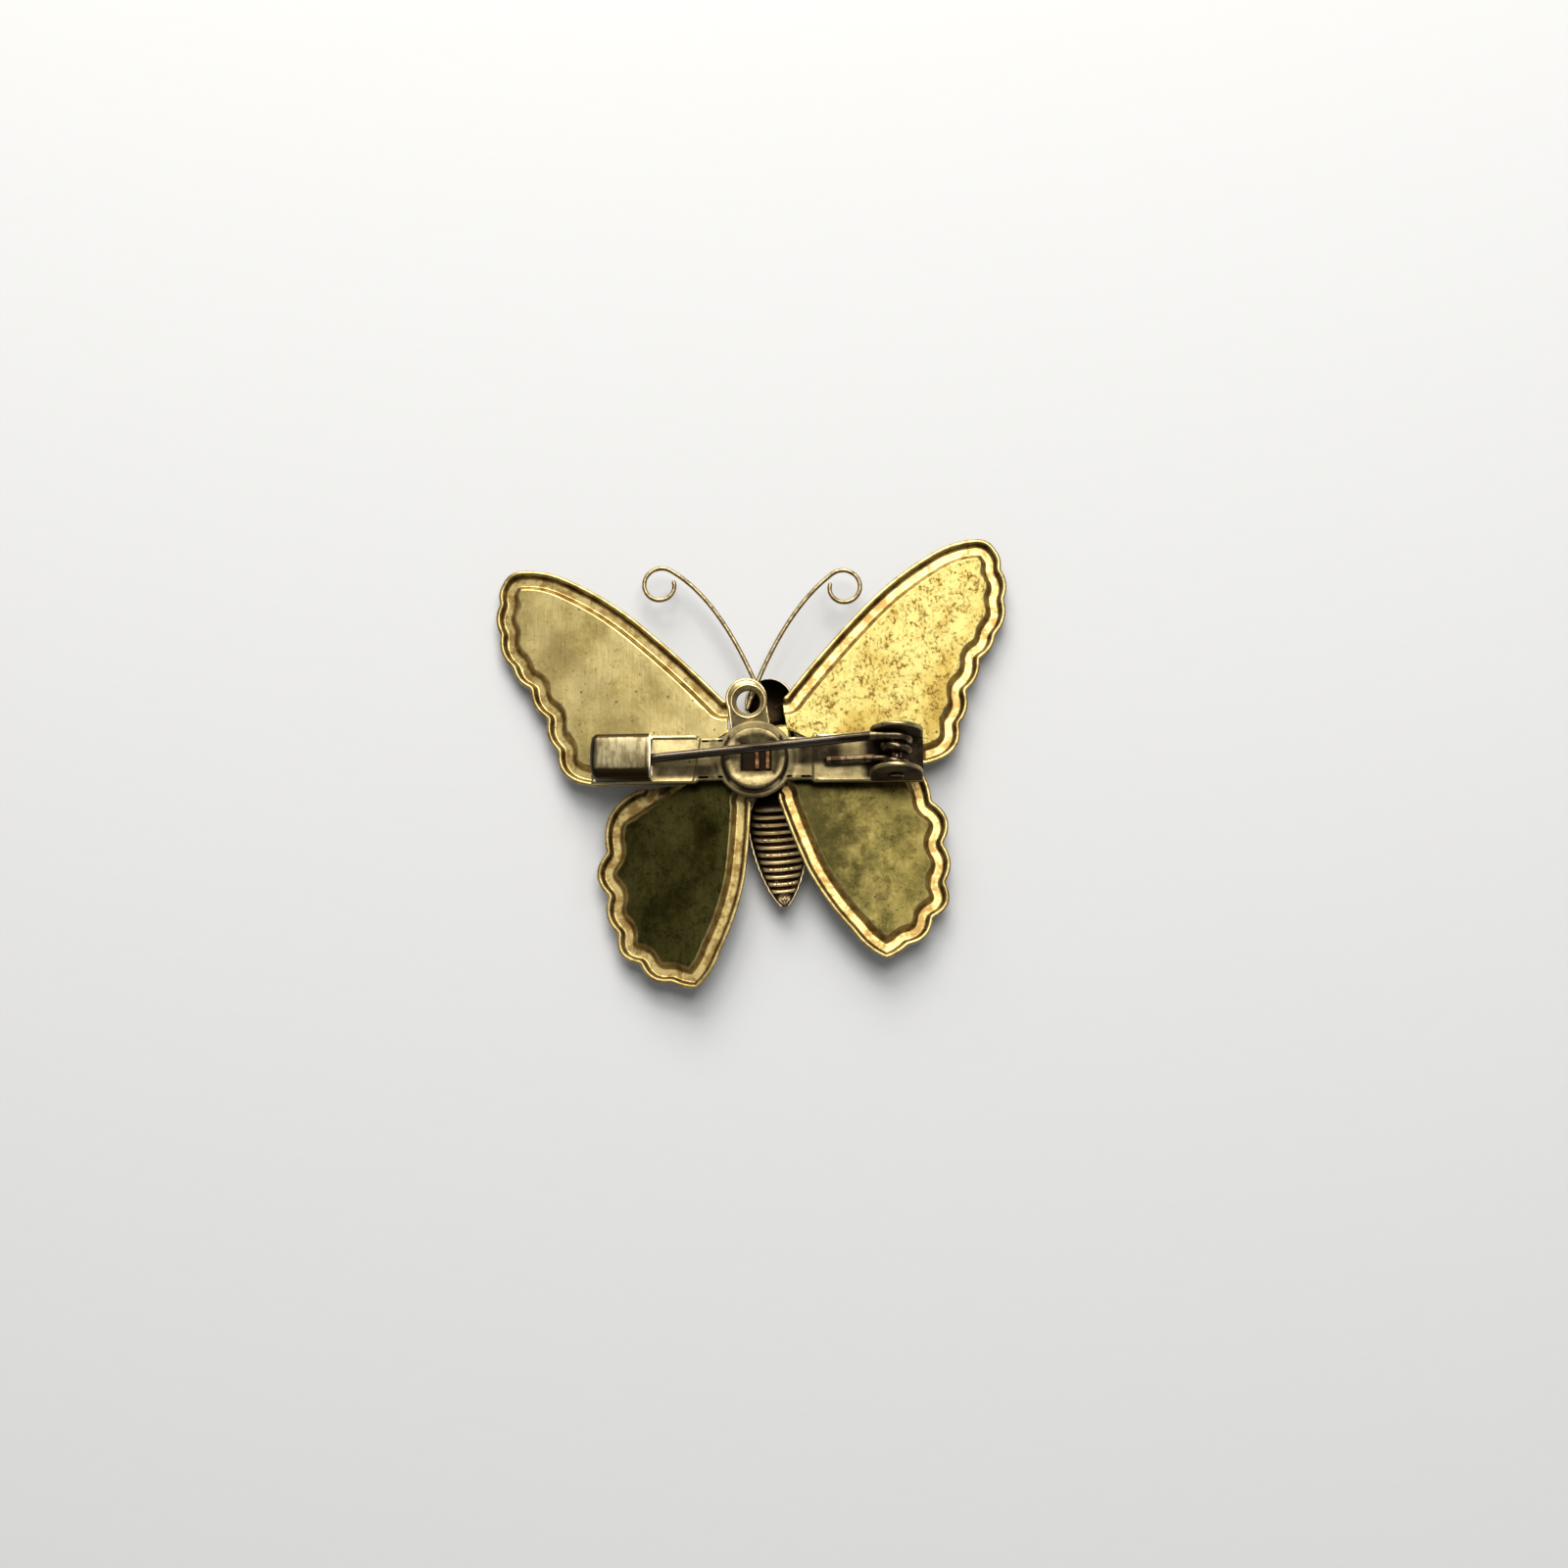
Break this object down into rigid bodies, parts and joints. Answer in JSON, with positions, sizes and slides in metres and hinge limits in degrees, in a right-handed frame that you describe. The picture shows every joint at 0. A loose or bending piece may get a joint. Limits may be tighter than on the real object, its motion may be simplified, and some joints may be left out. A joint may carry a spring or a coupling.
{
  "type": "butterfly brooch",
  "caption": "Butterfly brooch with pressed brass wing pans, wire antennae, a pendant eyelet and a spring pin that closes under a hood.",
  "frame": {"origin": "under the middle of the outline, on the surface that the front of the brooch lies on", "axes": "+Z out of the back, +Y towards the antennae, +X from the catch towards the hinge"},
  "size_m": [0.0508, 0.0448, 0.0092],
  "materials": {
    "wing_brass": "brushed, aged",
    "enamel": "glossy enamel",
    "body_brass": "tarnished",
    "antenna_wire": "drawn wire",
    "solder": "dull",
    "plate_brass": "polished, worn",
    "hood_brass": "grey, tarnished",
    "spring_metal": "drawn wire, darkened"
  },
  "bodies": {
    "brooch": {"forewing_left": "wing_brass", "forewing_right": "wing_brass", "hindwing_left": "wing_brass", "hindwing_right": "wing_brass", "enamel_forewing_left": "enamel", "enamel_forewing_right": "enamel", "enamel_hindwing_left": "enamel", "enamel_hindwing_right": "enamel", "body_shell": "body_brass", "body_saddle": "body_brass", "antenna_left": "antenna_wire", "antenna_right": "antenna_wire", "antenna_solder": "solder", "pendant_loop": "plate_brass", "pin_plate": "plate_brass", "hub_washer": "plate_brass", "catch_hood": "hood_brass", "hinge_rivet": "spring_metal", "spring_tail": "spring_metal"},
    "spring": {"spring_coil": "spring_metal"},
    "pin": {"pin_stem": "spring_metal"}
  },
  "joints": [
    {"name": "pin_swing", "type": "hinge", "parent": "brooch", "child": "spring", "pos_m": [0.01442, 0, 0.00666], "axis": [0, 1, 0], "range_deg": [0, 70]},
    {"name": "pin_flex", "type": "hinge", "parent": "spring", "child": "pin", "pos_m": [0.01187, 0.00124, 0.00756], "axis": [0, 0, -1], "range_deg": [0, 8]}
  ]
}
